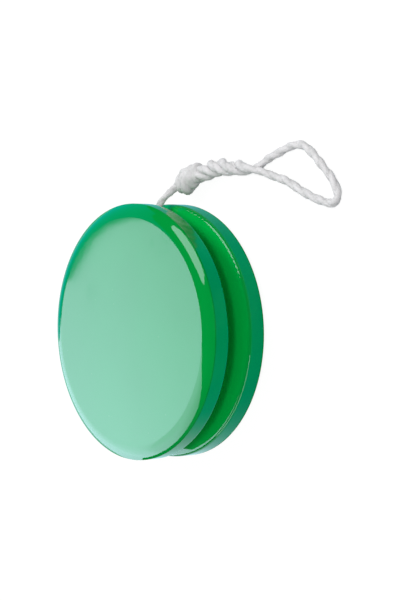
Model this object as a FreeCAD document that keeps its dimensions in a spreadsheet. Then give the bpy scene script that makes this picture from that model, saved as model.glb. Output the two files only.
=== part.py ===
import FreeCAD, Part
import math
import os
import Sketcher

# A slim yo-yo that lies on its rear face. Each half is two hollow shells, a body and a cap that
# snaps into it. A threaded rod and two nuts clamp the halves on a spacer sleeve, and a cotton
# string is wound on the sleeve, leaves the gap and ends in a knotted finger loop.
# Millimetres. +Z is the yo-yo's axis, and Z = 0 is its rear face.

Vector = FreeCAD.Vector

doc = FreeCAD.newDocument("yo_yo")
sheet = doc.addObject("Spreadsheet::Sheet", "sizes")

SIZES = {
    "rim_radius": 28.5,
    "half_depth": 6.3,  # one half, from its gap wall to its flat face
    "string_gap": 3.4,  # between the two gap walls
    "face_radius": 25.4,  # flat part of the outer face
    "outer_drop": 1.25,  # how far the outer shoulder falls from face to rim band
    "wall_radius": 15.0,  # flat part of the gap wall, round the winding
    "inner_drop": 1.4,  # how far the gap wall slopes away from there to the middle of its rounded edge
    "edge_across": 0.73,  # the rounding between gap wall and rim band, from the rim inwards
    "edge_fall": 0.27,  # the same, from inner_drop back to the slope
    "edge_climb": 0.525,  # the same, from inner_drop on to the rim band
    "seam_bevel": 0.12,  # each side of the joint line between cap and body
    "rim_wall": 2.0,
    "floor_wall": 1.5,
    "floor_rise": 1.0,  # how far the inside floor climbs to the rim wall, as the gap wall slopes below it
    "boss_radius": 6.4,
    "boss_height": 4.3,
    "seat_depth": 0.8,  # how far the sleeve sits in each half
    "sleeve_radius": 4.0,
    "sleeve_play": 0.05,
    "rod_radius": 1.95,
    "rod_length": 12.6,
    "rod_bevel": 0.35,
    "hole_play": 0.1,
    "nut_across": 7.0,
    "nut_depth": 2.2,
    "nut_play": 0.05,
    "nut_bore": 2.0,
    "nut_bevel": 0.35,
    "rib_wall": 1.0,
    "rib_height": 1.6,
    "rib_count": 8,
    "rib_bite": 0.3,  # how far a rib runs into the boss and the rim wall
    "cap_wall": 1.4,
    "skirt_wall": 1.1,
    "skirt_depth": 1.9,
    "skirt_play": 0.05,
    "snap_bead": 0.2,
    "snap_height": 0.4,  # half the height of the bead and of its groove
    "snap_level": 4.1,  # from the gap wall to the middle of the bead
    "string_diameter": 1.4,
    "coil_radius": 13.4,
    "coil_play": 0.15,  # to each gap wall
    "coil_bore_play": 0.1,
    "coil_round": 0.5,
    "loop_diameter": 1.6,
    "twist_diameter": 3.4,
    "knot_half_length": 3.7,
    "knot_half_width": 2.3,
}

for row, (name, value) in enumerate(SIZES.items(), start=1):
    sheet.set(f"A{row}", name)
    sheet.set(f"B{row}", str(value))
    sheet.setAlias(f"B{row}", name)
doc.recompute()


def number(word):
    """A size read from the sheet, or a plain number written out."""
    return sheet.get(word) if word in SIZES else float(word)


def amount(text):
    """The value of a sum of sizes such as 'rim_radius - rim_wall'."""
    total, sign = 0.0, 1
    for word in text.split():
        if word in ("+", "-"):
            sign = 1 if word == "+" else -1
        else:
            total += sign * number(word)
    return total


def bound(text):
    """The same sum as an expression that reads the sheet."""
    return " ".join(f"sizes.{word}" if word in SIZES else word for word in text.split())


# Sketches -------------------------------------------------------------------------------------


def new_sketch(body, name, role, level=None):
    """A sketch on one of the body's own planes, lifted along its normal by a sum of sizes."""
    plane = next(item for item in body.Origin.OriginFeatures if item.Role == role)
    sketch = body.newObject("Sketcher::SketchObject", name)
    sketch.AttachmentSupport = [(plane, "")]
    sketch.MapMode = "FlatFace"
    if level:
        sketch.setExpression("AttachmentOffset.Base.z", bound(level))
    return sketch


def bind(sketch, kind, *where, text):
    """A dimension that follows a sum of sizes."""
    index = sketch.addConstraint(Sketcher.Constraint(kind, *where, amount(text)))
    sketch.setExpression(f"Constraints[{index}]", bound(text))


def pin_point(sketch, edge, end, across, up):
    """Fixes one end of an edge by its distances from the sketch's two axes."""
    for kind, axis, text in (("DistanceX", -2, across), ("DistanceY", -1, up)):
        if amount(text) == 0:
            sketch.addConstraint(Sketcher.Constraint("PointOnObject", edge, end, axis))
        else:
            bind(sketch, kind, -1, 1, edge, end, text=text)


def shoulder_arc(start, end, along):
    """The arc from start to end that leaves start in the direction along, and whether it turns left."""
    chord = end - start
    side = along.cross(chord).z
    normal = Vector(-along.y, along.x, 0) * (1 if side > 0 else -1)
    radius = chord.Length ** 2 / (2 * normal.dot(chord))
    centre = start + normal * radius
    first = math.atan2(start.y - centre.y, start.x - centre.x)
    last = math.atan2(end.y - centre.y, end.x - centre.x)
    if side < 0:
        first, last = last, first
    circle = Part.Circle(centre, Vector(0, 0, 1), radius)
    return Part.ArcOfCircle(circle, first, last), side > 0


def draw_outline(sketch, corners, shoulders=()):
    """A closed outline of (across, up) corners. An edge listed in shoulders is an arc that runs on
    smoothly from the edge before it; the others are straight."""
    points = [Vector(amount(across), amount(up), 0) for across, up in corners]
    count = len(points)
    ends = []
    for i, start in enumerate(points):
        end = points[(i + 1) % count]
        if i in shoulders:
            along = (start - points[i - 1]).normalize()
            arc, left = shoulder_arc(start, end, along)
            sketch.addGeometry(arc, False)
            ends.append((1, 2) if left else (2, 1))
        else:
            sketch.addGeometry(Part.LineSegment(start, end), False)
            ends.append((1, 2))
    for i in range(count):
        after = (i + 1) % count
        kind = "Tangent" if after in shoulders else "Coincident"
        sketch.addConstraint(Sketcher.Constraint(kind, i, ends[i][1], after, ends[after][0]))
    for i, (across, up) in enumerate(corners):
        pin_point(sketch, i, ends[i][0], across, up)


def draw_hexagon(sketch, across, play):
    """A hexagon about the axis, as wide across its flats as across plus play on both sides."""
    radius = (number(across) / 2 + number(play)) / math.cos(math.pi / 6)
    corners = [Vector(radius * math.cos(a), radius * math.sin(a), 0)
               for a in (i * math.pi / 3 for i in range(6))]
    for i in range(6):
        sketch.addGeometry(Part.LineSegment(corners[i], corners[(i + 1) % 6]), False)
    sketch.addGeometry(Part.Circle(Vector(0, 0, 0), Vector(0, 0, 1), radius), True)
    for i in range(6):
        sketch.addConstraint(Sketcher.Constraint("Coincident", i, 2, (i + 1) % 6, 1))
        sketch.addConstraint(Sketcher.Constraint("PointOnObject", i, 1, 6))
    for i in range(1, 6):
        sketch.addConstraint(Sketcher.Constraint("Equal", 0, i))
    sketch.addConstraint(Sketcher.Constraint("Coincident", 6, 3, -1, 1))
    sketch.addConstraint(Sketcher.Constraint("PointOnObject", 0, 1, -1))
    index = sketch.addConstraint(Sketcher.Constraint("Radius", 6, radius))
    sketch.setExpression(f"Constraints[{index}]", f"(sizes.{across} / 2 + sizes.{play}) / cos(30deg)")


def draw_strip(sketch, start, end, width):
    """A rectangle centred on the X axis, from start to end along it."""
    near, far, half = amount(start), amount(end), amount(width) / 2
    corners = [Vector(near, -half, 0), Vector(far, -half, 0), Vector(far, half, 0), Vector(near, half, 0)]
    for i in range(4):
        sketch.addGeometry(Part.LineSegment(corners[i], corners[(i + 1) % 4]), False)
    for i in range(4):
        sketch.addConstraint(Sketcher.Constraint("Coincident", i, 2, (i + 1) % 4, 1))
    for kind, edge in (("Horizontal", 0), ("Horizontal", 2), ("Vertical", 1)):
        sketch.addConstraint(Sketcher.Constraint(kind, edge))
    sketch.addConstraint(Sketcher.Constraint("Symmetric", 0, 1, 3, 1, -1))
    bind(sketch, "DistanceX", -1, 1, 0, 1, text=start)
    bind(sketch, "DistanceX", -1, 1, 0, 2, text=end)
    bind(sketch, "DistanceY", 1, 1, 1, 2, text=width)


# Turned pieces --------------------------------------------------------------------------------


def new_body(name):
    body = doc.addObject("PartDesign::Body", name)
    body.Label = name
    return body


def turn(body, corners, shoulders=()):
    """Revolves an outline of (radius, height) corners about the yo-yo's axis."""
    sketch = new_sketch(body, f"{body.Label}_outline", "XZ_Plane")
    draw_outline(sketch, corners, shoulders)
    turned = body.newObject("PartDesign::Revolution", f"{body.Label}_turned")
    turned.Profile = sketch
    turned.ReferenceAxis = (sketch, ["V_Axis"])
    turned.Angle = 360
    sketch.Visibility = False
    doc.recompute()
    return turned


def lift(piece, height):
    piece.setExpression("Placement.Base.z", bound(height))


def set_on_axis(piece, side):
    """Puts a piece of one half in place. Its own frame starts at the gap wall and points outwards."""
    if side == "rear":
        piece.Placement = FreeCAD.Placement(Vector(0, 0, 0), FreeCAD.Rotation(Vector(1, 0, 0), 180))
        lift(piece, "half_depth")
    else:
        lift(piece, "half_depth + string_gap")


def make_shell(side):
    """The body of one half: sloped gap wall, rim band, hub boss with its nut pocket, ribs."""
    body = new_body(f"{side}_body")
    inner = "rim_radius - rim_wall"
    seam = "half_depth - outer_drop"
    turned = turn(body, [
        ("rod_radius + hole_play", "seat_depth"),
        ("sleeve_radius + sleeve_play", "seat_depth"),
        ("sleeve_radius + sleeve_play", "0"),
        ("wall_radius", "0"),
        ("rim_radius - edge_across", "inner_drop - edge_fall"),
        ("rim_radius", "inner_drop + edge_climb"),
        ("rim_radius", f"{seam} - seam_bevel"),
        ("rim_radius - seam_bevel", seam),
        (inner, seam),
        (inner, "snap_level + snap_height"),
        (f"{inner} + snap_bead", "snap_level"),
        (inner, "snap_level - snap_height"),
        (inner, "floor_wall + floor_rise"),
        ("boss_radius", "floor_wall"),
        ("boss_radius", "boss_height"),
        ("rod_radius + hole_play", "boss_height"),
    ], shoulders=(4,))

    pocket_sketch = new_sketch(body, f"{side}_pocket_sketch", "XY_Plane", "boss_height")
    draw_hexagon(pocket_sketch, "nut_across", "nut_play")
    pocket = body.newObject("PartDesign::Pocket", f"{side}_nut_pocket")
    pocket.Profile = pocket_sketch
    pocket.setExpression("Length", bound("nut_depth"))
    doc.recompute()
    if pocket.Shape.Volume > turned.Shape.Volume - 1:
        raise ValueError(f"{side} nut pocket cuts nothing")

    rib_sketch = new_sketch(body, f"{side}_rib_sketch", "XY_Plane", "floor_wall")
    draw_strip(rib_sketch, "boss_radius - rib_bite", f"{inner} + rib_bite", "rib_wall")
    rib = body.newObject("PartDesign::Pad", f"{side}_rib")
    rib.Profile = rib_sketch
    rib.setExpression("Length", bound("rib_height"))
    doc.recompute()
    ribs = body.newObject("PartDesign::PolarPattern", f"{side}_ribs")
    ribs.Originals = [rib]
    ribs.Axis = (rib_sketch, ["N_Axis"])
    ribs.Angle = 360
    ribs.setExpression("Occurrences", bound("rib_count"))
    body.Tip = ribs
    doc.recompute()
    set_on_axis(body, side)
    return body


def make_cap(side):
    """The cap of one half: flat outer face, outer shoulder, and the skirt that snaps into the body."""
    body = new_body(f"{side}_cap")
    seam = "half_depth - outer_drop"
    skirt = "rim_radius - rim_wall - skirt_play"
    turn(body, [
        ("0", "half_depth"),
        ("face_radius", "half_depth"),
        ("rim_radius", f"{seam} + seam_bevel"),
        ("rim_radius - seam_bevel", seam),
        (skirt, seam),
        (skirt, "snap_level + snap_height"),
        (f"{skirt} + snap_bead", "snap_level"),
        (skirt, "snap_level - snap_height"),
        (skirt, f"{seam} - skirt_depth"),
        (f"{skirt} - skirt_wall", f"{seam} - skirt_depth"),
        (f"{skirt} - skirt_wall", "half_depth - cap_wall"),
        ("0", "half_depth - cap_wall"),
    ], shoulders=(1,))
    set_on_axis(body, side)
    return body


def make_sleeve():
    """The spacer between the halves, which the string runs on."""
    body = new_body("axle_sleeve")
    turn(body, [
        ("rod_radius + hole_play", "half_depth - seat_depth"),
        ("sleeve_radius", "half_depth - seat_depth"),
        ("sleeve_radius", "half_depth + string_gap + seat_depth"),
        ("rod_radius + hole_play", "half_depth + string_gap + seat_depth"),
    ])
    return body


def make_rod():
    """The threaded rod. It reaches through both nuts and stops short of the caps."""
    body = new_body("axle_rod")
    turn(body, [
        ("0", "0"),
        ("rod_radius - rod_bevel", "0"),
        ("rod_radius", "rod_bevel"),
        ("rod_radius", "rod_length - rod_bevel"),
        ("rod_radius - rod_bevel", "rod_length"),
        ("0", "rod_length"),
    ])
    body.setExpression("Placement.Base.z", "sizes.half_depth + (sizes.string_gap - sizes.rod_length) / 2")
    return body


def make_nut(side):
    """A thin hexagon nut that fills the pocket of the boss, its corners bevelled on both faces."""
    corner = "sizes.nut_across / 2 / cos(30deg)"
    prism = doc.addObject("Part::Prism", f"{side}_nut_prism")
    prism.Polygon = 6
    prism.setExpression("Circumradius", corner)
    blank = doc.addObject("Part::Cylinder", f"{side}_nut_blank")
    blank.setExpression("Radius", corner)
    bore = doc.addObject("Part::Cylinder", f"{side}_nut_bore")
    bore.setExpression("Radius", bound("nut_bore"))
    for piece in (prism, blank, bore):
        piece.setExpression("Height", bound("nut_depth"))
        lift(piece, "boss_height - nut_depth")
    doc.recompute()

    bevelled = doc.addObject("Part::Chamfer", f"{side}_nut_bevel")
    bevelled.Base = blank
    bevel = number("nut_bevel")
    bevelled.Edges = [(i, bevel, bevel) for i, edge in enumerate(blank.Shape.Edges, start=1) if edge.isClosed()]
    hexagon = doc.addObject("Part::Common", f"{side}_nut_hexagon")
    hexagon.Base = prism
    hexagon.Tool = bevelled
    nut = doc.addObject("Part::Cut", f"{side}_nut")
    nut.Label = f"{side}_nut"
    nut.Base = hexagon
    nut.Tool = bore
    set_on_axis(nut, side)
    doc.recompute()
    return nut


# String ---------------------------------------------------------------------------------------


def make_coil():
    """The outer shape of the string wound on the sleeve."""
    body = new_body("string_coil")
    turn(body, [
        ("sleeve_radius + coil_bore_play", "half_depth + coil_play"),
        ("coil_radius - coil_round", "half_depth + coil_play"),
        ("coil_radius", "half_depth + coil_play + coil_round"),
        ("coil_radius", "half_depth + string_gap - coil_play - coil_round"),
        ("coil_radius - coil_round", "half_depth + string_gap - coil_play"),
        ("sleeve_radius + coil_bore_play", "half_depth + string_gap - coil_play"),
    ])
    return body


def route_path(name, route):
    """Straight runs joined by tangent arcs, each arc as large as its two runs allow."""
    share = 0.45  # of the shorter run, taken by the arc at each end
    points = [Vector(*point) for point in route]
    edges = []
    radii = []
    start = points[0]
    for before, corner, after in zip(points, points[1:], points[2:]):
        back = before - corner
        ahead = after - corner
        reach = share * min(back.Length, ahead.Length)
        turned = math.pi - back.getAngle(ahead)
        radii.append(reach / math.tan(turned / 2))
        back.normalize()
        ahead.normalize()
        first = corner + back * reach
        last = corner + ahead * reach
        inward = (back + ahead).normalize()
        centre = corner + inward * math.hypot(reach, radii[-1])
        edges.append(Part.LineSegment(start, first).toShape())
        edges.append(Part.Arc(first, centre - inward * radii[-1], last).toShape())
        start = last
    edges.append(Part.LineSegment(start, points[-1]).toShape())
    path = Part.Wire(edges)
    print(f"{name}: length {path.Length:.1f}, tightest arc {min(radii):.2f}")
    return path


def make_tube(name, route, diameter):
    """A stretch of string along its route."""
    path = route_path(name, route)
    start = Vector(*route[0])
    ring = Part.Circle(start, Vector(*route[1]) - start, number(diameter) / 2)
    tube = doc.addObject("Part::Feature", name)
    tube.Label = name
    tube.Shape = path.makePipe(Part.Face(Part.Wire(ring.toShape())))
    expected = math.pi * number(diameter) ** 2 / 4 * path.Length
    if abs(tube.Shape.Volume - expected) > 0.01 * expected:
        raise ValueError(f"{name}: volume {tube.Shape.Volume:.2f}, expected {expected:.2f}")
    return tube


def make_knot(centre, towards):
    """The outer shape of the knot: an ellipsoid whose long axis points along the string."""
    knot = doc.addObject("Part::Ellipsoid", "string_knot")
    knot.Label = "string_knot"
    knot.Angle1 = -90
    knot.Angle2 = 90
    knot.setExpression("Radius1", bound("knot_half_length"))
    knot.setExpression("Radius2", bound("knot_half_width"))
    knot.setExpression("Radius3", bound("knot_half_width"))
    along = Vector(*towards) - Vector(*centre)
    knot.Placement = FreeCAD.Placement(Vector(*centre), FreeCAD.Rotation(Vector(0, 0, 1), along))
    return knot


# Off the winding, out of the gap and down over the rear half's shoulder to the knot.
LEAD_ROUTE = [
    (6.6, 11.0, 8.0), (11.9, 8.2, 8.0), (17.5, 4.8, 7.9), (22.3, 1.6, 7.8), (26.2, -0.8, 7.6),
    (29.3, -2.3, 7.1), (31.4, -3.1, 5.1), (32.5, -4.2, 3.3),
]

KNOT_CENTRE = (33.5, -6.3, 2.5)
KNOT_TOWARDS = (34.6, -9.6, 1.9)

# The two legs of the loop and the tail, twisted together.
TWIST_ROUTE = [
    (34.3, -8.6, 2.0), (35.3, -12.4, 1.8), (35.7, -16.9, 1.75), (35.4, -21.2, 1.72), (34.7, -25.0, 1.72),
]

# The open loop. One leg leaves the twist under the other, and both come down to the table.
LOOP_ROUTE = [
    (34.5, -25.2, 0.9), (34.9, -28.0, 0.85), (36.5, -30.9, 0.85), (37.5, -34.6, 0.85),
    (38.6, -38.0, 0.85), (38.7, -41.9, 0.85), (36.0, -45.2, 0.85), (33.4, -47.6, 0.85),
    (31.2, -49.9, 0.85), (29.1, -51.2, 0.85), (27.5, -51.7, 0.85), (26.1, -51.2, 0.85),
    (25.7, -49.7, 0.85), (26.4, -47.0, 0.85), (27.6, -43.8, 0.85), (29.4, -40.0, 0.85),
    (31.4, -36.7, 0.85), (32.5, -32.7, 0.9), (33.9, -29.4, 1.3), (34.7, -25.8, 2.5),
]

pieces = [make_sleeve(), make_rod(), make_coil()]
for side in ("rear", "front"):
    pieces += [make_shell(side), make_cap(side), make_nut(side)]
pieces.append(make_tube("string_lead", LEAD_ROUTE, "string_diameter"))
pieces.append(make_knot(KNOT_CENTRE, KNOT_TOWARDS))
pieces.append(make_tube("string_twist", TWIST_ROUTE, "twist_diameter"))
pieces.append(make_tube("finger_loop", LOOP_ROUTE, "loop_diameter"))
doc.recompute()

for item in doc.Objects:
    if {"Invalid", "Error"} & set(item.State):
        raise ValueError(f"{item.Label} failed: {item.State}")
for piece in pieces:
    if piece.Shape.isNull() or not piece.Shape.isValid() or len(piece.Shape.Solids) != 1:
        raise ValueError(f"{piece.Label} is not one valid solid")

os.makedirs("parts", exist_ok=True)
for piece in pieces:
    piece.Shape.exportStep(f"parts/{piece.Label}.step")
    box = piece.Shape.BoundBox
    print(f"{piece.Label}: volume {piece.Shape.Volume:.1f}, z {box.ZMin:.2f} to {box.ZMax:.2f}")
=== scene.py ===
import bpy, math
import numpy as np
from mathutils import Matrix, Vector, noise


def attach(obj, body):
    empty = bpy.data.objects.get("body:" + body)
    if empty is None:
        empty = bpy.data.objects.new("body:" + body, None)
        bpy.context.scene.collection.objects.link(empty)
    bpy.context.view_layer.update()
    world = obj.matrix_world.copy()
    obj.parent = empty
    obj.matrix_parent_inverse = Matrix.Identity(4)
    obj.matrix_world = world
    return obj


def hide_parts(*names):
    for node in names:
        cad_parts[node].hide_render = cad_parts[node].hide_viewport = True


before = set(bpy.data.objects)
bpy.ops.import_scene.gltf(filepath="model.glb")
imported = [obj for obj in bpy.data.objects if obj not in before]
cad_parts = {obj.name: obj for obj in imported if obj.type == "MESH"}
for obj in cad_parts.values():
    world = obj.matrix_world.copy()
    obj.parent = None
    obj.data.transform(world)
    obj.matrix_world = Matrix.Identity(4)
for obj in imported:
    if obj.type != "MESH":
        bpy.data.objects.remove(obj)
scene = bpy.context.scene
for name in ("Cube", "Light", "Camera"):  # what a new file brings with it
    if name in bpy.data.objects:
        bpy.data.objects.remove(bpy.data.objects[name], do_unlink=True)
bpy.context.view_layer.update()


def put(tree, kind, inputs=None, **settings):  # one node, with its sockets filled or linked
    made = tree.nodes.new(kind)
    for key, value in settings.items():
        setattr(made, key, value)
    for key, value in (inputs or {}).items():
        if isinstance(value, bpy.types.NodeSocket):
            tree.links.new(value, made.inputs[key])
        else:
            made.inputs[key].default_value = value
    return made


def sums(tree, operation, a, b=0.0, c=0.0):  # a Math node's result
    return put(tree, "ShaderNodeMath", {0: a, 1: b, 2: c}, operation=operation).outputs[0]


def spread(tree, value, low, high, newLow=0.0, newHigh=1.0, kind="SMOOTHSTEP"):  # a Map Range node's result
    made = put(tree, "ShaderNodeMapRange", {0: value, 1: low, 2: high, 3: newLow, 4: newHigh})
    made.interpolation_type = kind
    return made.outputs[0]


def mixed(tree, share, a, b):  # two colours mixed
    return put(tree, "ShaderNodeMix", {0: share, 6: a, 7: b}, data_type="RGBA").outputs[2]


def newGroup(name, takes, gives):
    tree = bpy.data.node_groups.new(name, "ShaderNodeTree")
    for label, kind, value in takes:
        socket = tree.interface.new_socket(name=label, in_out="INPUT", socket_type=kind)
        if value is not None:
            socket.default_value = value
    for label, kind in gives:
        tree.interface.new_socket(name=label, in_out="OUTPUT", socket_type=kind)
    return tree, tree.nodes.new("NodeGroupInput"), tree.nodes.new("NodeGroupOutput")


def newMaterial(name):
    made = bpy.data.materials.new(name)
    made.use_nodes = True
    made.node_tree.nodes.clear()
    return made, made.node_tree


def finish(tree, sockets, height=None, strength=1.0, depth=1.0):  # the shader, its bump and the output
    shader = put(tree, "ShaderNodeBsdfPrincipled", sockets)
    if height is not None:
        bump = put(tree, "ShaderNodeBump", {"Height": height, "Strength": strength, "Distance": depth})
        tree.links.new(bump.outputs[0], shader.inputs["Normal"])
    put(tree, "ShaderNodeOutputMaterial", {"Surface": shader.outputs[0]})


def addPiece(name, verts, faces, material, smooth=True, marks=None):
    mesh = bpy.data.meshes.new(name)
    mesh.from_pydata(verts, [], faces)
    mesh.update()
    mesh.materials.append(material)
    mesh.polygons.foreach_set("use_smooth", [smooth] * len(mesh.polygons))
    for label, values in (marks or {}).items():
        values = np.asarray(values, float)
        kind = "FLOAT_VECTOR" if values.ndim == 2 else "FLOAT"
        layer = mesh.attributes.new(label, kind, "POINT")
        layer.data.foreach_set("vector" if values.ndim == 2 else "value", values.ravel())
    piece = bpy.data.objects.new(name, mesh)
    scene.collection.objects.link(piece)
    return piece


viewpoint = {"spot": (0.00658, -0.2896, 0.2393), "tilt": 49.81, "roll": -91.47, "lens": 98.64}


def addCamera():
    eye = bpy.data.objects.new("camera", bpy.data.cameras.new("camera"))
    scene.collection.objects.link(eye)
    eye.data.lens = viewpoint["lens"]
    eye.data.sensor_width = 36.0
    eye.data.clip_start = 0.01
    eye.matrix_world = (Matrix.Translation(viewpoint["spot"])
                        @ Matrix.Rotation(math.radians(viewpoint["tilt"]), 4, "X")
                        @ Matrix.Rotation(math.radians(viewpoint["roll"]), 4, "Z"))
    scene.camera = eye


addCamera()
print("camera set")


# metres; the string's route, out of the gap, over the rear rim and on along the floor
leadRoute = [(.0066, .0110, .0080), (.0119, .0082, .0080), (.0175, .0048, .0079), (.0223, .0016, .0078),
             (.0261, -.0004, .0077), (.0289, -.0022, .0075), (.0306, -.0032, .0061), (.0320, -.0034, .0042)]
knotRoute = [(.0329, -.0050, .0031), (.0337, -.0067, .0027)]
twistRoute = [(.0343, -.0086, .0021), (.0353, -.0124, .0021), (.0357, -.0169, .0021), (.0354, -.0212, .0019),
              (.0347, -.0250, .0017)]
loopRoute = [(.0345, -.0252, .00095), (.0349, -.0280, .00092), (.0365, -.0309, .00092), (.0375, -.0346, .00092),
             (.0386, -.0380, .00092), (.0387, -.0419, .00092), (.0360, -.0452, .00092), (.0334, -.0476, .00092),
             (.0312, -.0499, .00092), (.0291, -.0512, .00092), (.0275, -.0517, .00092), (.0261, -.0512, .00092),
             (.0257, -.0497, .00092), (.0264, -.0470, .00092), (.0276, -.0438, .00092), (.0294, -.0400, .00092),
             (.0314, -.0367, .00092), (.0325, -.0327, .0009), (.0339, -.0294, .0013), (.0347, -.0258, .0025)]
knotCentre, knotTowards = Vector((.0336, -.0063, .0027)), Vector((.0349, -.0096, .0022))

coil = {"turns": 14, "perTurn": 12, "perLayer": 2, "firstRadius": .00475, "layerStep": .00133,
        "levels": (.00728, .00872), "endAngle": 59.0}
twist = {"pitch": .0104, "perTurn": 14, "radii": ((0, .00095), (.2, .00098), (.48, .00112), (.82, .00074), (1, .0008)),
         "legGap": 120.0, "legGapEnd": 180.0, "tailGap": 240.0, "tailGapEnd": 268.0, "legEnd": -90.0}
string = {"diameter": .0015, "coilWidth": .00142, "leadWidth": .00158, "legWidth": .00205, "loopWidth": .00178,
          "neckWidth": .00165,  # where each leg leaves the twist for the loop
          "bareRun": .012,  # how far past the winding the loose fibres start
          "coilStep": .00060, "shownStep": .00020, "sides": 32, "plyPitch": .0074, "yarnPitch": .0031}


def ease(t):
    t = np.clip(t, 0, 1)
    return t * t * (3 - 2 * t)


def linePoints(route, fineness):  # a smooth NURBS line through space, read back as points
    line = bpy.data.curves.new("route", "CURVE")
    line.dimensions = "3D"
    spline = line.splines.new("NURBS")
    spline.points.add(len(route) - 1)
    for point, place in zip(spline.points, route):
        point.co = (*place, 1)
    spline.order_u = 3
    spline.use_endpoint_u = True
    spline.resolution_u = line.resolution_u = fineness
    holder = bpy.data.objects.new("route", line)
    scene.collection.objects.link(holder)
    mesh = bpy.data.meshes.new_from_object(holder)
    points = np.array([v.co for v in mesh.vertices])
    bpy.data.objects.remove(holder)
    bpy.data.curves.remove(line)
    bpy.data.meshes.remove(mesh)
    return points


def coilPoints():  # from the sleeve outwards, two turns to a layer
    points, total = [], coil["turns"] * coil["perTurn"]
    swell = 1 / math.cos(math.pi / coil["perTurn"])
    for i in range(total):
        turn = i / coil["perTurn"]
        layer, part = divmod(turn, coil["perLayer"])
        climb = ease((part - 1.75) / .25)
        radius = (coil["firstRadius"] + coil["layerStep"] * min(layer + climb, 6)) * swell
        across = ease((part - .85) / .3)
        low, high = coil["levels"] if layer % 2 == 0 else coil["levels"][::-1]
        height = low + (high - low) * across
        height += (.0080 - height) * ease((turn - coil["turns"] + .35) / .35)
        angle = math.radians(coil["endAngle"] + 360 * (coil["turns"] - turn))
        points.append((radius * math.cos(angle), radius * math.sin(angle), height))
    return points


twistLine = linePoints(twistRoute, 24)
twistRun = np.concatenate([[0], np.cumsum(np.linalg.norm(np.diff(twistLine, axis=0), axis=1))])


def aroundTwist(share, gap):  # a point on one strand of the twist; share runs from the knot to the loop
    run = share * twistRun[-1]
    middle = np.array([np.interp(run, twistRun, twistLine[:, k]) for k in range(3)])
    ahead = np.array([np.interp(run + 2e-4, twistRun, twistLine[:, k])
                      - np.interp(run - 2e-4, twistRun, twistLine[:, k]) for k in range(3)])
    ahead /= np.linalg.norm(ahead)
    side = np.array([1.0, 0, 0]) - ahead[0] * ahead
    side /= np.linalg.norm(side)
    above = np.cross(ahead, side)
    angle = math.radians(twist["legEnd"] + gap) - 2 * math.pi * (1 - share) * twistRun[-1] / twist["pitch"]
    radius = np.interp(share, *zip(*twist["radii"]))
    return tuple(middle + radius * (math.cos(angle) * side + math.sin(angle) * above))


def legGap(share, start, end):
    return start + (end - start) * float(ease((share - .55) / .4))


def cordRoute():
    count = int(round(twistRun[-1] / twist["pitch"] * twist["perTurn"]))
    shares = [i / count for i in range(1, count)]
    legOut = [aroundTwist(s, 0) for s in shares]
    legBack = [aroundTwist(s, legGap(s, twist["legGap"], twist["legGapEnd"])) for s in reversed(shares)]
    return coilPoints() + leadRoute + knotRoute + legOut + loopRoute + legBack + [knotRoute[1]]


def thinned(points, steps):  # keeps points that are at least a step apart, and the last one
    kept = [0]
    for i in range(1, len(points)):
        if np.linalg.norm(points[i] - points[kept[-1]]) >= steps[i]:
            kept.append(i)
    kept[-1] = len(points) - 1
    return kept


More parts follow.
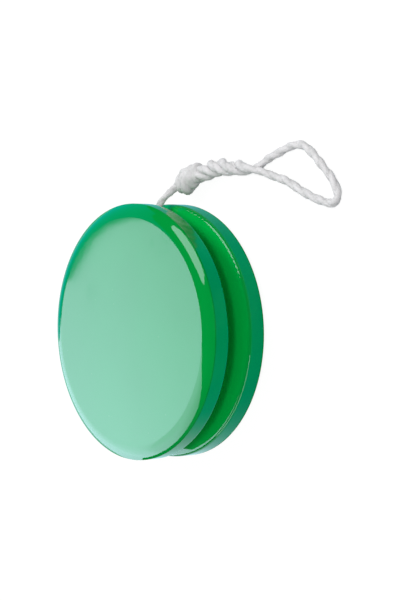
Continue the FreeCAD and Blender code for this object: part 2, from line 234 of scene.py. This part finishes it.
def strandTube(path, widths, sides=24, seed=1, closed=False, plyPitch=None, yarnPitch=None, softness=1.0,
               taper=(0, 0), plyGap=.20):  # two plies of four yarns each, twisted round the path as one closed skin
    path = np.asarray(path, float)
    widths = np.broadcast_to(np.asarray(widths, float), (len(path),))
    dice = np.random.default_rng(seed)
    count = len(path)
    ahead = np.roll(path, -1, 0) - np.roll(path, 1, 0)
    if not closed:
        ahead[0], ahead[-1] = path[1] - path[0], path[-1] - path[-2]
    ahead /= np.linalg.norm(ahead, axis=1)[:, None]
    side = np.cross(ahead[0], (0.0, 0.0, 1.0) if abs(ahead[0][2]) < .9 else (1.0, 0.0, 0.0))
    side /= np.linalg.norm(side)
    sidesOf = [side]
    for i in range(1, count):  # carries the side direction along without spinning it
        side = side - ahead[i] * np.dot(side, ahead[i])
        side = side / np.linalg.norm(side)
        sidesOf.append(side)
    first = np.array(sidesOf)
    second = np.cross(ahead, first)
    run = np.concatenate([[0], np.cumsum(np.linalg.norm(np.diff(path, axis=0), axis=1))])
    length = run[-1] + (np.linalg.norm(path[0] - path[-1]) if closed else 0)
    slip = 0
    if closed:  # the side direction has turned by the time it comes round, which the twist takes up
        back = first[-1] - ahead[0] * np.dot(first[-1], ahead[0])
        slip = math.atan2(np.dot(back, second[0]), np.dot(back, first[0]))
    plyTurns = length / (plyPitch or string["plyPitch"])
    yarnTurns = length / (yarnPitch or string["yarnPitch"])
    if closed:
        plyTurns, yarnTurns = round(plyTurns * 2) / 2, round(yarnTurns * 4) / 4
    share = run / length
    waves = np.arange(1, 7) * max(1, round(length / .022))
    wobble = sum(dice.normal() * np.sin(2 * math.pi * (w * share) + dice.uniform(0, 6.28)) for w in waves) / 6 ** .5
    drift = sum(dice.normal() * np.sin(2 * math.pi * (w * share) + dice.uniform(0, 6.28)) for w in waves) / 6 ** .5
    angle = np.linspace(0, 2 * math.pi, sides, endpoint=False)[None, :]
    turned = angle - (2 * math.pi * plyTurns * share + .35 * drift * (0 if closed else 1) - slip * share)[:, None]
    apart, fat = plyGap, 1 - plyGap
    ply = np.where(np.cos(turned) >= 0, 0.0, math.pi)
    near = turned - ply
    reach = apart * np.cos(near) + np.sqrt(fat ** 2 - (apart * np.sin(near)) ** 2)
    inPly = np.arctan2(reach * np.sin(near), reach * np.cos(near) - apart)
    lobes = np.abs(np.cos(2 * (inPly + (2 * math.pi * yarnTurns * share)[:, None])))
    reach = reach * (1 - .075 * softness * (1 - lobes) ** 1.5) * (1 + .045 * wobble)[:, None]
    grow = np.ones(count)
    if taper[0]:
        grow *= np.sqrt(np.clip(run / taper[0], .02, 1))
    if taper[1]:
        grow *= np.sqrt(np.clip((length - run) / taper[1], .02, 1))
    reach = reach * (widths / 2 * grow)[:, None] * 1.03
    verts = (path[:, None, :] + first[:, None, :] * (reach * np.cos(angle))[:, :, None]
             + second[:, None, :] * (reach * np.sin(angle))[:, :, None]).reshape(-1, 3)
    along = np.repeat(run[:, None], sides, 1)
    spun = inPly + 2 * math.pi * (yarnTurns * share)[:, None]
    mark = np.stack([np.cos(spun) * .0004, np.sin(spun) * .0004, along * .22 + ply * .003], 2).reshape(-1, 3)
    # painted shade mask: highest in the creases between plies and yarns, where the cotton colour is darkened
    hollow = (1 - lobes * .5 - .5 * np.abs(np.cos(near))).reshape(-1)
    faces = []
    rings = count if closed else count - 1
    for i in range(rings):
        a, b = i * sides, (i + 1) % count * sides
        faces += [(a + k, a + (k + 1) % sides, b + (k + 1) % sides, b + k) for k in range(sides)]
    if not closed:
        verts = np.vstack([verts, path[0], path[-1]])
        mark = np.vstack([mark, mark[0], mark[-1]])
        hollow = np.append(hollow, [0, 0])
        start, end, last = count * sides, count * sides + 1, (count - 1) * sides
        faces += [(start, (k + 1) % sides, k) for k in range(sides)]
        faces += [(end, last + k, last + (k + 1) % sides) for k in range(sides)]
    return verts, faces, mark, hollow


def joinParts(parts):  # several closed skins as one mesh
    verts, faces, marks, hollows, base = [], [], [], [], 0
    for part in parts:
        verts.append(part[0]), marks.append(part[2]), hollows.append(part[3])
        faces += [tuple(base + k for k in face) for face in part[1]]
        base += len(part[0])
    return np.vstack(verts), faces, np.vstack(marks), np.concatenate(hollows)


noise.seed_set(12)  # without it the swellings differ from run to run


def softened(verts, amount, size, seed):  # small uneven swellings, as in spun cotton
    shift = Vector((seed * 7.3, seed * 3.1, seed * 5.7))
    return [tuple(Vector(v) + amount * noise.noise_vector(Vector(v) / size + shift)) for v in verts]


wear = {"peelScale": 520.0, "scratchScale": 34.0, "dustScale": 950.0}


def surfaceWear():  # fine scratches, dust, a rubbed edge and the slight unevenness of a moulded skin
    tree, taken, given = newGroup(
        "surface wear and gap light mask",
        [("Vector", "NodeSocketVector", None), ("Rim Radius", "NodeSocketFloat", .0285),
         ("Peel Scale", "NodeSocketFloat", 500.0), ("Scratch Scale", "NodeSocketFloat", 34.0),
         ("Dust Scale", "NodeSocketFloat", 900.0)],
        [("Peel", "NodeSocketFloat"), ("Scratches", "NodeSocketFloat"), ("Dust", "NodeSocketFloat"),
         ("Edge", "NodeSocketFloat"), ("Cloud", "NodeSocketFloat"), ("Inside", "NodeSocketFloat")])
    at = taken.outputs["Vector"]
    peel = put(tree, "ShaderNodeTexNoise", {"Vector": at, "Scale": taken.outputs["Peel Scale"], "Detail": 1.0})
    lines = []
    for turn, stretch, level in ((.35, 46.0, .515), (1.9, 60.0, .52), (2.75, 38.0, .51)):
        slanted = put(tree, "ShaderNodeMapping", {"Vector": at, "Rotation": (0.3, 0.2, turn),
                                                  "Scale": (1.0, stretch, stretch)})
        hair = put(tree, "ShaderNodeTexNoise", {"Vector": slanted.outputs[0], "Detail": 0.0,
                                                "Scale": taken.outputs["Scratch Scale"]})
        offset = sums(tree, "ABSOLUTE", sums(tree, "SUBTRACT", hair.outputs[0], level))
        lines.append(spread(tree, offset, .0, .006, 1.0, 0.0))
    patch = put(tree, "ShaderNodeTexNoise", {"Vector": at, "Scale": 95.0, "Detail": 2.0})
    many = sums(tree, "MAXIMUM", sums(tree, "MAXIMUM", lines[0], lines[1]), lines[2])
    scratches = sums(tree, "MULTIPLY", many, spread(tree, patch.outputs[0], .5, .68))
    specks = put(tree, "ShaderNodeTexVoronoi", {"Vector": at, "Scale": taken.outputs["Dust Scale"]})
    sizes = put(tree, "ShaderNodeSeparateColor", {"Color": specks.outputs["Color"]})
    reach = spread(tree, sizes.outputs[0], .93, 1.0, 0.0, .16)
    dust = sums(tree, "LESS_THAN", specks.outputs["Distance"], reach)
    flat = put(tree, "ShaderNodeVectorMath", {0: at, 1: (1.0, 1.0, 0.0)}, operation="MULTIPLY")
    radius = put(tree, "ShaderNodeVectorMath", {0: flat.outputs[0]}, operation="LENGTH").outputs["Value"]
    inside = sums(tree, "SUBTRACT", taken.outputs["Rim Radius"], radius)
    edge = sums(tree, "MULTIPLY", spread(tree, inside, 0.0, .0005, 1.0, 0.0), spread(tree, patch.outputs[0], .42, .62))
    cloud = put(tree, "ShaderNodeTexNoise", {"Vector": at, "Scale": 38.0, "Detail": 3.0})
    # the last output masks what lies inside the rim, where light is painted onto the green
    for label, value in (("Peel", peel.outputs[0]), ("Scratches", scratches), ("Dust", dust), ("Edge", edge),
                         ("Cloud", cloud.outputs[0]), ("Inside", spread(tree, inside, .0002, .0010))):
        tree.links.new(value, given.inputs[label])
    return tree


wearGroup = surfaceWear()


def wearIn(tree, **values):
    place = put(tree, "ShaderNodeTexCoord").outputs["Object"]
    made = put(tree, "ShaderNodeGroup", node_tree=wearGroup)
    tree.links.new(place, made.inputs["Vector"])
    for label, key in (("Peel Scale", "peelScale"), ("Scratch Scale", "scratchScale"), ("Dust Scale", "dustScale")):
        made.inputs[label].default_value = values.get(key, wear[key])
    return place, made.outputs


plastic = {"green": (0.0, .304, .045, 1), "deep": (0.0, .284, .040, 1), "worn": (.015, .40, .10, 1),
           "dusty": (.35, .55, .42, 1), "roughness": .045, "ior": 1.5, "depth": .0000022,
           "paintedGapLight": 1.55}  # painted light: times the green inside the rim, in place of light that thin walls would let in


def glossPlastic(name, shade, paintGapLight):  # the third argument: 1 paints light onto the green inside the rim, 0 leaves it
    material, tree = newMaterial(name)
    place, worn = wearIn(tree)
    base = tuple(c * shade for c in plastic["green"][:3]) + (1,)
    deep = tuple(c * shade for c in plastic["deep"][:3]) + (1,)
    colour = mixed(tree, spread(tree, worn["Cloud"], .35, .65), base, deep)
    # painted light: a brighter copy of the green for what lies inside the rim
    paintedLitGreen = tuple(c * plastic["paintedGapLight"] for c in base[:3]) + (1,)
    colour = mixed(tree, sums(tree, "MULTIPLY", worn["Inside"], paintGapLight), colour, paintedLitGreen)
    colour = mixed(tree, sums(tree, "MULTIPLY", worn["Edge"], .10), colour, plastic["worn"])
    colour = mixed(tree, sums(tree, "MULTIPLY", worn["Dust"], .05), colour, plastic["dusty"])
    rough = sums(tree, "MULTIPLY_ADD", worn["Scratches"], .16, plastic["roughness"])
    rough = sums(tree, "MULTIPLY_ADD", worn["Edge"], .05, rough)
    rough = sums(tree, "MULTIPLY_ADD", worn["Dust"], .10, rough)
    height = sums(tree, "MULTIPLY_ADD", worn["Scratches"], -.5, worn["Peel"])
    finish(tree, {"Base Color": colour, "Roughness": rough, "IOR": plastic["ior"]}, height, .5, plastic["depth"])
    return material


nylon = {"light": (.74, .72, .66, 1), "dark": (.60, .58, .52, 1), "ringScale": 260.0}


def nylonSleeve():
    material, tree = newMaterial("nylon sleeve")
    place, worn = wearIn(tree)
    rings = put(tree, "ShaderNodeTexWave", {"Vector": place, "Scale": nylon["ringScale"], "Distortion": .6},
                bands_direction="Z")
    colour = mixed(tree, spread(tree, worn["Cloud"], .3, .7), nylon["light"], nylon["dark"])
    rough = sums(tree, "MULTIPLY_ADD", worn["Scratches"], .15, .42)
    finish(tree, {"Base Color": colour, "Roughness": rough}, rings.outputs["Fac"], .4, .00001)
    return material


steel = {"light": (.62, .62, .60, 1), "dark": (.42, .42, .41, 1), "grainScale": 3120.0}


def brushedSteel():
    material, tree = newMaterial("brushed steel")
    place, worn = wearIn(tree)
    drawn = put(tree, "ShaderNodeMapping", {"Vector": place, "Scale": (1.0, 1.0, .05)})
    grain = put(tree, "ShaderNodeTexNoise", {"Vector": drawn.outputs[0], "Scale": steel["grainScale"], "Detail": 2.0})
    colour = mixed(tree, spread(tree, grain.outputs[0], .3, .7), steel["light"], steel["dark"])
    rough = sums(tree, "MULTIPLY_ADD", grain.outputs[0], .22, .20)
    finish(tree, {"Base Color": colour, "Roughness": rough, "Metallic": 1.0}, grain.outputs[0], .3, .00001)
    return material


# shade is the grey of the painted shade in the creases, and also of the fibre streaks
cotton = {"light": (.75, .74, .75, 1), "grey": (.66, .655, .66, 1), "shade": (.47, .475, .47, 1), "fibreScale": 7000.0}


def cottonYarn():
    material, tree = newMaterial("cotton yarn")
    follow = put(tree, "ShaderNodeAttribute", attribute_name="yarnCoord").outputs["Vector"]
    hollow = put(tree, "ShaderNodeAttribute", attribute_name="yarnHollow").outputs["Fac"]
    place = put(tree, "ShaderNodeTexCoord").outputs["Object"]
    fibres = put(tree, "ShaderNodeTexNoise", {"Vector": follow, "Scale": cotton["fibreScale"], "Detail": 3.0,
                                              "Roughness": .6})
    slubs = put(tree, "ShaderNodeTexNoise", {"Vector": place, "Scale": 420.0, "Detail": 2.0})
    colour = mixed(tree, spread(tree, slubs.outputs[0], .35, .7), cotton["light"], cotton["grey"])
    # painted shade: the cotton darkens in the creases between plies and yarns
    colour = mixed(tree, sums(tree, "MULTIPLY", spread(tree, hollow, .35, .9), .35), colour, cotton["shade"])
    colour = mixed(tree, sums(tree, "MULTIPLY", spread(tree, fibres.outputs[0], .45, .3), .25), colour, cotton["shade"])
    rough = sums(tree, "MULTIPLY_ADD", fibres.outputs[0], .15, .80)
    finish(tree, {"Base Color": colour, "Roughness": rough, "Sheen Weight": .08, "Sheen Roughness": .5,
                  "Specular IOR Level": .25}, fibres.outputs[0], .7, .00012)
    return material


# the shell gets painted light inside its rim, the cap none
capGreen, shellGreen = glossPlastic("cap plastic", 1.0, 0.0), glossPlastic("shell plastic", .98, 1.0)
sleeveNylon, rodSteel, whiteCotton = nylonSleeve(), brushedSteel(), cottonYarn()
finishes = {"front_cap": capGreen, "rear_cap": capGreen, "front_body": shellGreen, "rear_body": shellGreen,
            "axle_sleeve": sleeveNylon, "axle_rod": rodSteel, "front_nut": rodSteel, "rear_nut": rodSteel}
for name, material in finishes.items():
    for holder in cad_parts[name].material_slots:
        holder.material = material
print("materials made")


fullLine = linePoints(cordRoute(), 24)
coilEnd = int(np.argmin(np.linalg.norm(fullLine - np.array(leadRoute[1]), axis=1)))
stepSizes = np.where(np.arange(len(fullLine)) < coilEnd, string["coilStep"], string["shownStep"])
line = fullLine[thinned(fullLine, stepSizes)]
gone = np.concatenate([[0], np.cumsum(np.linalg.norm(np.diff(line, axis=0), axis=1))])
cordLength = float(gone[-1])


def runAt(spot, after=0.0):  # how far along the string a point lies
    away = np.linalg.norm(line - np.array(spot), axis=1) + np.where(gone < after, 1.0, 0.0)
    return float(gone[int(np.argmin(away))])


leadRun = runAt(leadRoute[1])
knotRun = runAt(knotRoute[0], leadRun)
loopRun = runAt(loopRoute[2], knotRun)
backRun = runAt(loopRoute[-2], loopRun)
width = np.interp(gone, [0, leadRun, knotRun - .001, knotRun + .002, loopRun - .010, loopRun - .005, loopRun + .006,
                         backRun - .006, backRun + .001, backRun + .006, cordLength],
                  [string["coilWidth"], string["leadWidth"], string["leadWidth"], string["legWidth"],
                   string["legWidth"], string["neckWidth"], string["loopWidth"], string["loopWidth"],
                   string["neckWidth"], string["legWidth"], string["legWidth"]])
verts, faces, mark, hollow = strandTube(line, width, sides=string["sides"], seed=11)
shown = np.repeat((gone > leadRun + string["bareRun"]).astype(float), string["sides"])
shown = np.append(shown, [0, 1])
cord = addPiece("yoyoString", softened(verts, .00005, .0011, 3), faces, whiteCotton,
                marks={"yarnCoord": mark, "yarnHollow": hollow, "yarnShown": shown})
print("string laid, %.3f m, of which %.3f m wound" % (cordLength, leadRun))


knot = {"wraps": (  # share along the knot, radius, squash, tilt, turn of the tilt, push sideways, push up, strand width
            (-.50, .00045, 1.0, 10, 10, .00005, .0, .00155),
            (-.27, .00108, 1.0, 22, -20, .00000, .00005, .00210),
            (-.02, .00148, .95, 26, -15, -.00030, .00005, .00250),
            (.24, .00135, .95, 24, -5, .00012, .0, .00240),
            (.46, .00108, .95, 24, 0, .00035, -.0001, .00220)),
        "length": .0066, "step": .00022}
knotAxis = (knotTowards - knotCentre).normalized()
knotSide = (Vector((1, 0, 0)) - knotAxis * knotAxis.x).normalized()
knotUp = knotAxis.cross(knotSide)


def inKnot(along, across, above):
    return knotCentre + knotAxis * along + knotSide * across + knotUp * above


def knotWrap(share, radius, squash, tilt, turn, across, above, thick, seed):
    tiltBy, turnBy, ring = math.radians(tilt), math.radians(turn), []
    count = max(24, int(radius * 2 * math.pi / knot["step"]))
    for i in range(count):
        angle = 2 * math.pi * i / count
        sway = radius * math.sin(angle - turnBy) * math.tan(tiltBy)
        grow = 1 + .05 * math.sin(2 * angle + seed) + .03 * math.sin(3 * angle + 2 * seed)
        ring.append(inKnot(share * knot["length"] + sway, across + radius * grow * math.sin(angle),
                           above + radius * squash * grow * math.cos(angle)))
    return strandTube(ring, thick, sides=20, seed=seed, closed=True, plyPitch=.0090, yarnPitch=.0030, softness=.9,
                      plyGap=.12)


def knotStrand(route, thick, seed):  # a strand laid over the wraps, with both ends buried
    path = linePoints([inKnot(*p) for p in route], 24)
    return strandTube(path[thinned(path, np.full(len(path), .0002))], thick, sides=20, seed=seed)


knotParts = [knotWrap(*row, seed=20 + i) for i, row in enumerate(knot["wraps"])]
core = linePoints([inKnot(-.0030, 0, 0), inKnot(-.0015, -.0002, 0), inKnot(0, -.0004, 0), inKnot(.0018, -.0003, 0),
                   inKnot(.0032, 0, 0)], 12)
coreWidth = np.interp(np.linspace(0, 1, len(core)), [0, .2, .5, .75, 1], [.0014, .0024, .0040, .0036, .0028])
knotParts.append(strandTube(core, coreWidth, sides=20, seed=31, taper=(.0006, .0006)))
knotParts.append(knotStrand([(-.0028, .0001, .0002), (-.0020, .0010, .0007), (-.0004, .0018, .0010),
                             (.0014, .0017, .0012), (.0030, .0011, .0009), (.0042, .0004, .0002)], .00165, 41))
verts, faces, mark, hollow = joinParts(knotParts)
stringKnot = addPiece("stringKnot", softened(verts, .00016, .0015, 5), faces, whiteCotton,
                      marks={"yarnCoord": mark, "yarnHollow": hollow})


tail = {"until": .84, "steps": 28, "widths": ((0, .0020), (.45, .0019), (.8, .0013), (1, .0007)),
        "yarns": 7, "yarnWidth": .00030, "flare": .00028, "yarnLength": .0020, "bend": (.0, .35, 1.0)}
tailShares = [i / tail["steps"] for i in range(1, tail["steps"] + 1) if i / tail["steps"] <= tail["until"]]
tailRoute = [knotRoute[1]] + [aroundTwist(s, legGap(s, twist["tailGap"], twist["tailGapEnd"])) for s in tailShares]
tailLine = linePoints(tailRoute, 24)
tailLine = tailLine[thinned(tailLine, np.full(len(tailLine), string["shownStep"]))]
tailWidth = np.interp(np.linspace(0, 1, len(tailLine)), *zip(*tail["widths"]))
tailParts = [strandTube(tailLine, tailWidth, sides=24, seed=51, taper=(0, .0004))]
tip, onward = tailLine[-1], tailLine[-1] - tailLine[-4]
onward = onward / np.linalg.norm(onward)
dice = np.random.default_rng(8)
for i in range(tail["yarns"]):
    turn = 2 * math.pi * i / tail["yarns"] + dice.uniform(-.3, .3)
    level = np.cross(onward, (0, 0, 1.0))
    level = level / np.linalg.norm(level)
    out = level * math.cos(turn) + np.cross(onward, level) * math.sin(turn)
    far = tail["yarnLength"] * dice.uniform(.5, 1.0)
    hair = linePoints([tuple(tip - onward * .0004 + onward * far * s + out * tail["flare"] * (.45 + .6 * s * b))
                       for s, b in zip((0, .5, 1.0), tail["bend"])], 8)
    tailParts.append(strandTube(hair, tail["yarnWidth"], sides=8, seed=60 + i, taper=(0, .0006), plyPitch=.0015))
verts, faces, mark, hollow = joinParts(tailParts)
stringTail = addPiece("stringTail", softened(verts, .00005, .0011, 9), faces, whiteCotton,
                      marks={"yarnCoord": mark, "yarnHollow": hollow})
print("knot and cut end made")


fuzz = {"Density": 6.0e6, "Fibre Length": .00060, "Fibre Thickness": .000011, "Seed": 4}


def fuzzTree():
    tree = bpy.data.node_groups.new("cotton fuzz", "GeometryNodeTree")
    for label, kind in (("Geometry", "NodeSocketGeometry"), ("Density", "NodeSocketFloat"),
                        ("Fibre Length", "NodeSocketFloat"), ("Fibre Thickness", "NodeSocketFloat"),
                        ("Seed", "NodeSocketInt"), ("Material", "NodeSocketMaterial")):
        tree.interface.new_socket(name=label, in_out="INPUT", socket_type=kind)
    tree.interface.new_socket(name="Geometry", in_out="OUTPUT", socket_type="NodeSocketGeometry")
    taken, given = tree.nodes.new("NodeGroupInput").outputs, tree.nodes.new("NodeGroupOutput")
    where = put(tree, "GeometryNodeInputNamedAttribute", {"Name": "yarnShown"}, data_type="FLOAT").outputs[0]
    thick = put(tree, "ShaderNodeMath", {0: where, 1: taken["Density"]}, operation="MULTIPLY").outputs[0]
    spots = put(tree, "GeometryNodeDistributePointsOnFaces", {"Mesh": taken["Geometry"], "Density": thick,
                                                              "Seed": taken["Seed"]})
    hair = put(tree, "GeometryNodeCurveQuadraticBezier", {"Resolution": 4, "Start": (0, 0, -.08),
                                                          "Middle": (.05, .02, .30), "End": (.55, .12, .42)})
    thin = put(tree, "GeometryNodeCurvePrimitiveCircle", {"Resolution": 3}, mode="RADIUS")
    across = put(tree, "ShaderNodeMath", {0: taken["Fibre Thickness"], 1: taken["Fibre Length"]}, operation="DIVIDE")
    tree.links.new(across.outputs[0], thin.inputs["Radius"])
    fibre = put(tree, "GeometryNodeCurveToMesh", {"Curve": hair.outputs[0], "Profile Curve": thin.outputs[0],
                                                  "Fill Caps": True})
    spin = put(tree, "FunctionNodeRandomValue", {2: 0.0, 3: 6.283, "Seed": taken["Seed"]}, data_type="FLOAT")
    turn = put(tree, "ShaderNodeCombineXYZ", {"Z": spin.outputs[1]})
    facing = put(tree, "FunctionNodeRotateRotation", {"Rotation": spots.outputs["Rotation"]}, rotation_space="LOCAL")
    asTurn = put(tree, "FunctionNodeEulerToRotation", {0: turn.outputs[0]})
    tree.links.new(asTurn.outputs[0], facing.inputs[1])
    sizes = put(tree, "FunctionNodeRandomValue", {2: .45, 3: 1.0, "Seed": 7}, data_type="FLOAT")
    size = put(tree, "ShaderNodeMath", {0: sizes.outputs[1], 1: taken["Fibre Length"]}, operation="MULTIPLY")
    grown = put(tree, "GeometryNodeInstanceOnPoints", {"Points": spots.outputs["Points"], "Instance": fibre.outputs[0],
                                                       "Rotation": facing.outputs[0], "Scale": size.outputs[0]})
    real = put(tree, "GeometryNodeRealizeInstances", {"Geometry": grown.outputs[0]})
    done = put(tree, "GeometryNodeSetMaterial", {"Geometry": real.outputs[0], "Material": taken["Material"]})
    tree.links.new(done.outputs[0], given.inputs[0])
    return tree


def growFuzz(name, source):
    holder = bpy.data.objects.new(name + "Base", source.data.copy())
    scene.collection.objects.link(holder)
    tree = fuzzTree()
    grower = holder.modifiers.new("fuzz", "NODES")
    grower.node_group = tree
    for item in tree.interface.items_tree:
        if item.in_out == "INPUT" and item.name in fuzz:
            grower[item.identifier] = fuzz[item.name]
        if item.in_out == "INPUT" and item.name == "Material":
            grower[item.identifier] = whiteCotton
    ready = holder.evaluated_get(bpy.context.evaluated_depsgraph_get())
    mesh = bpy.data.meshes.new_from_object(ready)
    mesh.name = name
    piece = bpy.data.objects.new(name, mesh)
    scene.collection.objects.link(piece)
    bpy.data.objects.remove(holder, do_unlink=True)
    return piece


stringFuzz = growFuzz("stringFuzz", cord)
print("fuzz grown, %d faces" % len(stringFuzz.data.polygons))

for piece in (cord, stringKnot, stringTail, stringFuzz):
    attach(piece, "string")
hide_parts("string_coil", "string_lead", "string_twist", "finger_loop")
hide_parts("string_knot")


# floorFront, floorLow, floorHigh and floorFar tint the painted reflection: the floor's own glow as seen in reflections
studio = {"floorSize": 4.0, "floorShown": .94, "floorShade": .10, "floorBounce": .42, "floorFront": (.0, .90, 1.10, 1),
          "floorLow": (.70, 1.10, 1.20, 1), "floorHigh": (.16, .62, .70, 1), "floorFar": (.62, 1.30, 1.20, 1),
          "worldGloss": (.010, .030, .040, 1), "worldDiffuse": .61}


def addFloor():
    size = studio["floorSize"] / 2
    material, tree = newMaterial("studio floor")
    rays = put(tree, "ShaderNodeLightPath").outputs
    plain = put(tree, "ShaderNodeBsdfDiffuse", {"Color": (studio["floorBounce"],) * 3 + (1,)})
    faint = put(tree, "ShaderNodeBsdfDiffuse", {"Color": (studio["floorShade"],) * 3 + (1,)})
    white = put(tree, "ShaderNodeEmission", {"Color": (1, 1, 1, 1), "Strength": studio["floorShown"]})
    seen = put(tree, "ShaderNodeAddShader", {0: faint.outputs[0], 1: white.outputs[0]})
    place = put(tree, "ShaderNodeTexCoord").outputs["Object"]
    away = put(tree, "ShaderNodeVectorMath", {0: place}, operation="LENGTH").outputs["Value"]
    parts = put(tree, "ShaderNodeSeparateXYZ", {0: place}).outputs
    # painted reflection: in reflections the floor glows by itself, tinted and graded by place around the yo-yo, while
    # the camera sees it plain white
    near = mixed(tree, spread(tree, parts["X"], -.01, .02), studio["floorLow"], studio["floorHigh"])
    near = mixed(tree, spread(tree, parts["Y"], -.028, -.004), studio["floorFront"], near)
    tone = mixed(tree, spread(tree, away, .07, .30), near, studio["floorFar"])
    paintedFloorReflection = put(tree, "ShaderNodeEmission", {"Color": tone, "Strength": 1.0})
    gloss = put(tree, "ShaderNodeMixShader", {0: rays["Is Glossy Ray"], 1: plain.outputs[0], 2: paintedFloorReflection.outputs[0]})
    whole = put(tree, "ShaderNodeMixShader", {0: rays["Is Camera Ray"], 1: gloss.outputs[0], 2: seen.outputs[0]})
    put(tree, "ShaderNodeOutputMaterial", {"Surface": whole.outputs[0]})
    corners = [(x * size, y * size, -2e-5) for x, y in ((-1, -1), (1, -1), (1, 1), (-1, 1))]  # just under the object
    floor = addPiece("studioFloor", corners, [(0, 1, 2, 3)], material)


def addWorld():
    world = bpy.data.worlds.new("studio")
    world.use_nodes = True
    scene.world = world
    tree = world.node_tree
    tree.nodes.clear()
    rays = put(tree, "ShaderNodeLightPath").outputs
    soft = put(tree, "ShaderNodeBackground", {"Color": (1, 1, 1, 1), "Strength": studio["worldDiffuse"]})
    dim = put(tree, "ShaderNodeBackground", {"Color": studio["worldGloss"], "Strength": 1.0})
    white = put(tree, "ShaderNodeBackground", {"Color": (1, 1, 1, 1), "Strength": 1.0})
    first = put(tree, "ShaderNodeMixShader", {0: rays["Is Glossy Ray"], 1: soft.outputs[0], 2: dim.outputs[0]})
    second = put(tree, "ShaderNodeMixShader", {0: rays["Is Camera Ray"], 1: first.outputs[0], 2: white.outputs[0]})
    put(tree, "ShaderNodeOutputWorld", {"Surface": second.outputs[0]})


cool = (1.0, 1.25, 1.60)
# seen only in the gloss, and shaped so that their reflections fall right from the camera
cards = {  # corners, brightness, how it changes (axis, from, times, to, times), and the tint
    "farCard": ([(-.85, .90, .0), (-.035, .90, .0), (-.028, .90, .25), (-.012, .90, .38), (.006, .90, .52),
                 (.0275, .90, .648), (.063, .90, .674), (.0755, .90, .692), (.0825, .90, .715), (.084, .90, .75),
                 (.105, .90, .80), (.110, .90, .90), (.0, .90, .95), (-.045, .90, .90), (-.045, .90, .81),
                 (-1.30, .90, .81), (-1.035, .90, .515), (-.85, .90, .33)], 4.4,
                (("Z", .0, .55, .42, 1.0), ("X", -.12, 1.03, .085, .74), ("Z", .70, 1.0, .83, .84),
                 ("Z", .83, 1.0, .93, .28)), cool),
    "farShade": ([(-.03, .92, .0), (1.1, .92, .0), (1.1, .92, .95), (-.03, .92, .95)], 1.0,
                 (("Z", .0, 1.2, 1.0, .5),), (.02, .85, 1.5)),
    "roofCard": ([(-.045, .90, .80), (-.045, .70, .80), (-.085, .58, .80), (-.14, .39, .80), (-.20, .26, .80),
                  (-.28, .15, .80), (-.42, .06, .80), (-.57, .02, .80), (-.77, .15, .80), (-1.0, .40, .80),
                  (-1.3, .85, .80), (-1.3, .90, .80)], 3.9,
                 (("X", -.08, .76, -.55, 1.0), ("Y", .05, .62, .50, 1.0)), cool),
    "stripCard": ([(-.30, -.80, .22), (-.60, -.62, .16), (-.85, -.20, .12), (-.85, .10, .10), (-.85, .10, .36),
                   (-.85, -.20, .36), (-.60, -.62, .40), (-.30, -.80, .46)], 3.6, (), cool),
    "overheadCard": ([(.25, .04, .80), (.28, -.08, .80), (.35, -.16, .80), (.44, -.22, .80), (.54, -.19, .80),
                      (.70, -.06, .80), (.88, .13, .80), (.93, .23, .80), (.88, .36, .80), (.70, .42, .80),
                      (.57, .45, .80), (.46, .41, .80), (.31, .25, .80)], 4.3, (), (1, 1.15, 1.35)),
}


def addCard(name, corners, brightness, changes, tint):
    material, tree = newMaterial(name)
    place = put(tree, "ShaderNodeTexCoord").outputs["Object"]
    parts = put(tree, "ShaderNodeSeparateXYZ", {0: place}).outputs
    level = brightness
    for axis, start, first, end, last in changes:
        level = sums(tree, "MULTIPLY", level, spread(tree, parts[axis], start, end, first, last, "LINEAR"))
    glow = put(tree, "ShaderNodeEmission", {"Color": (*tint, 1), "Strength": level})
    put(tree, "ShaderNodeOutputMaterial", {"Surface": glow.outputs[0]})
    card = addPiece(name, corners, [tuple(range(len(corners)))], material, smooth=False)
    card.visible_camera = card.visible_diffuse = card.visible_shadow = False


def addLamp(name, spot, size, power):
    lamp = bpy.data.lights.new(name, "AREA")
    lamp.shape, lamp.size, lamp.energy = "DISK", size, power
    holder = bpy.data.objects.new(name, lamp)
    scene.collection.objects.link(holder)
    holder.location = spot
    holder.rotation_euler = Vector(spot).to_track_quat("Z", "Y").to_euler()
    holder.visible_camera = holder.visible_glossy = False


addFloor()
addWorld()
for name, row in cards.items():
    addCard(name, *row)
addLamp("keyLamp", (.55, .25, .75), .35, 3.6)
addLamp("frontLamp", (.05, -.62, .78), .14, 2.4)
scene.view_settings.view_transform = "Standard"
scene.view_settings.look = "None"
print("studio set")
